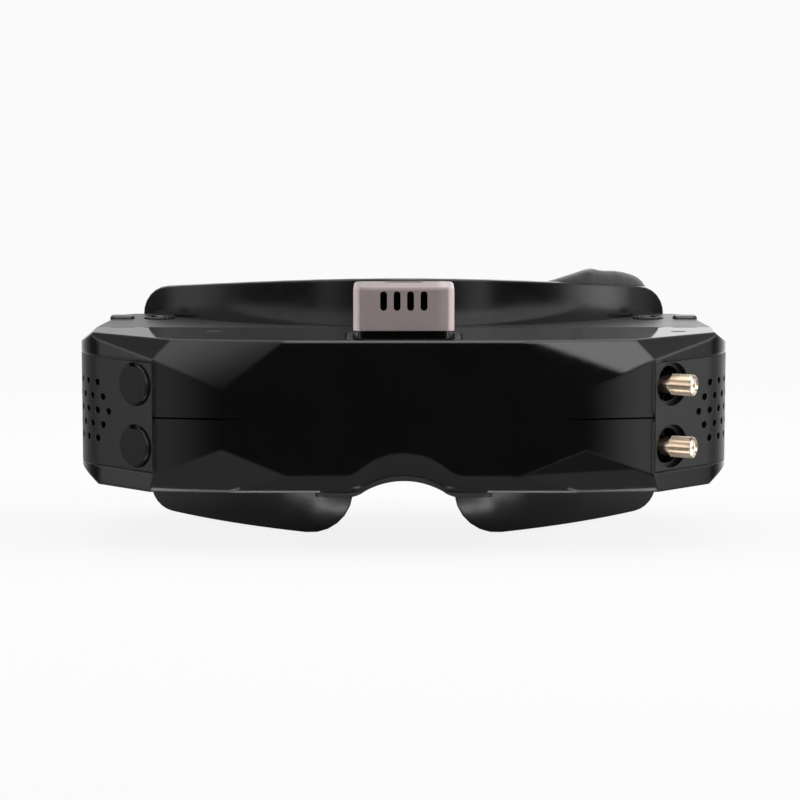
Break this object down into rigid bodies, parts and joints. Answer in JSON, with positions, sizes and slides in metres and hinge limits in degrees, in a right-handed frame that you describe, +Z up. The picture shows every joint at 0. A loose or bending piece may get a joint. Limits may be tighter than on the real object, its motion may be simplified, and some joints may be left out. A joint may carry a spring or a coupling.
{
  "type": "fpv goggles",
  "caption": "Box-style first-person-view goggles with a faceted shell, curved face plate and foam, sliding eyepieces, lift-out receiver and corner antenna ports.",
  "frame": {"origin": "middle of the underside of the whole object's box, at the lowest point of the cheek lobes", "axes": "+X to the side with the antenna jacks, +Y from the front face towards the wearer's face, +Z up"},
  "size_m": [0.185, 0.0764, 0.0754],
  "materials": {
    "gloss_black": "high gloss injection moulding",
    "satin_black": "satin moulding",
    "housing_grey": "fine matte texture",
    "panel_grey": "matte moulding",
    "inner_black": "plain matte",
    "control_black": "fine matte with worn edges",
    "cap_rose": "satin rose grey",
    "soft_black": "soft matte rubber",
    "foam": "brushed fabric over foam",
    "gold": "gold plated",
    "steel": "bright",
    "tin": "tinned",
    "alloy": "anodised",
    "board_green": "solder mask",
    "insulator": "plain",
    "display": "dark display glass",
    "lens_glass": "coated",
    "lamp": "smoked"
  },
  "bodies": {
    "goggles": {"front_upper_shell": "gloss_black", "front_lower_shell": "gloss_black", "nose_rim": "soft_black", "rear_housing": "housing_grey", "left_vent_panel": "panel_grey", "right_vent_panel": "panel_grey", "face_plate": "satin_black", "foam_pad": "foam", "bay_liner": "inner_black", "bay_socket": "inner_black", "upper_jack": "gold", "lower_jack": "gold", "jack_insulators": "insulator", "jack_contacts": "gold", "antenna_board": "board_green", "left_optics_frame": "inner_black", "right_optics_frame": "inner_black", "guide_rods": "steel", "main_board": "board_green", "heat_sink": "alloy", "left_fan_frame": "inner_black", "right_fan_frame": "inner_black", "key_boards": "board_green", "port_boards": "board_green", "power_jack": "inner_black", "av_jack": "inner_black", "video_socket": "tin", "card_socket": "tin", "left_strap_loop": "control_black", "right_strap_loop": "control_black", "shell_screws": "steel", "plate_screws": "steel", "top_lamps": "lamp"},
    "module": {"module_cap": "cap_rose", "module_base": "inner_black", "module_board": "board_green", "module_shields": "tin", "module_header": "gold"},
    "left_upper_plug_body": {"left_upper_plug": "control_black"},
    "left_lower_plug_body": {"left_lower_plug": "control_black"},
    "left_optics": {"left_carriage": "inner_black", "left_display": "display", "left_eye_slider": "control_black"},
    "right_optics": {"right_carriage": "inner_black", "right_display": "display", "right_eye_slider": "control_black"},
    "left_focus": {"left_focus_wheel": "control_black"},
    "right_focus": {"right_focus_wheel": "control_black"},
    "left_eyepiece": {"left_barrel": "inner_black", "left_lens": "lens_glass"},
    "right_eyepiece": {"right_barrel": "inner_black", "right_lens": "lens_glass"},
    "left_fan": {"left_fan_rotor": "inner_black"},
    "right_fan": {"right_fan_rotor": "inner_black"},
    "left_jog_stem": {"left_jog_shaft": "steel"},
    "right_jog_stem": {"right_jog_shaft": "steel"},
    "left_jog": {"left_jog_wheel": "control_black"},
    "right_jog": {"right_jog_wheel": "control_black"},
    "power_button": {"power_key": "control_black"},
    "record_button": {"record_key": "control_black"}
  },
  "joints": [
    {"name": "module_lift", "type": "slide", "parent": "goggles", "child": "module", "axis": [0, 0, 1], "range_m": [0, 0.03]},
    {"name": "left_upper_plug_pull", "type": "slide", "parent": "goggles", "child": "left_upper_plug_body", "axis": [-0.6691, -0.7431, 0], "range_m": [0, 0.012]},
    {"name": "left_lower_plug_pull", "type": "slide", "parent": "goggles", "child": "left_lower_plug_body", "axis": [-0.6691, -0.7431, 0], "range_m": [0, 0.012]},
    {"name": "left_eye_slide", "type": "slide", "parent": "goggles", "child": "left_optics", "axis": [-1, 0, 0], "range_m": [-0.003, 0.0035]},
    {"name": "left_focus_run", "type": "slide", "parent": "left_optics", "child": "left_eyepiece", "axis": [0, 1, 0], "range_m": [-0.0015, 0.0015]},
    {"name": "left_focus_turn", "type": "hinge", "parent": "left_optics", "child": "left_focus", "pos_m": [-0.032, -0.01935, 0.02122], "axis": [0, 1, 0], "range_deg": [-164, 164]},
    {"name": "left_fan_spin", "type": "hinge", "parent": "goggles", "child": "left_fan", "pos_m": [-0.0704, -0.00375, 0.03862], "axis": [1, 0, 0], "continuous": true},
    {"name": "left_jog_press", "type": "slide", "parent": "goggles", "child": "left_jog_stem", "axis": [0, 0, -1], "range_m": [0, 0.0004], "stiffness_N_per_m": 600, "springref_m": -0.0005},
    {"name": "left_jog_spin", "type": "hinge", "parent": "left_jog_stem", "child": "left_jog", "pos_m": [-0.0715, 0.01625, 0.06062], "axis": [0, 0, 1], "continuous": true},
    {"name": "right_eye_slide", "type": "slide", "parent": "goggles", "child": "right_optics", "axis": [1, 0, 0], "range_m": [-0.003, 0.0035]},
    {"name": "right_focus_run", "type": "slide", "parent": "right_optics", "child": "right_eyepiece", "axis": [0, 1, 0], "range_m": [-0.0015, 0.0015]},
    {"name": "right_focus_turn", "type": "hinge", "parent": "right_optics", "child": "right_focus", "pos_m": [0.032, -0.01935, 0.02122], "axis": [0, 1, 0], "range_deg": [-164, 164]},
    {"name": "right_fan_spin", "type": "hinge", "parent": "goggles", "child": "right_fan", "pos_m": [0.0704, -0.00375, 0.03862], "axis": [1, 0, 0], "continuous": true},
    {"name": "right_jog_press", "type": "slide", "parent": "goggles", "child": "right_jog_stem", "axis": [0, 0, -1], "range_m": [0, 0.0004], "stiffness_N_per_m": 600, "springref_m": -0.0005},
    {"name": "right_jog_spin", "type": "hinge", "parent": "right_jog_stem", "child": "right_jog", "pos_m": [0.0715, 0.01625, 0.06062], "axis": [0, 0, 1], "continuous": true},
    {"name": "power_press", "type": "slide", "parent": "goggles", "child": "power_button", "axis": [0, 0, -1], "range_m": [0, 0.0004], "stiffness_N_per_m": 600, "springref_m": -0.0005},
    {"name": "record_press", "type": "slide", "parent": "goggles", "child": "record_button", "axis": [0, 0, -1], "range_m": [0, 0.0004], "stiffness_N_per_m": 600, "springref_m": -0.0005}
  ],
  "couplings": [
    {"joint": "left_focus_turn", "follows": "left_focus_run", "rad_per_m": 1861.7},
    {"joint": "right_focus_turn", "follows": "right_focus_run", "rad_per_m": 1861.7}
  ]
}
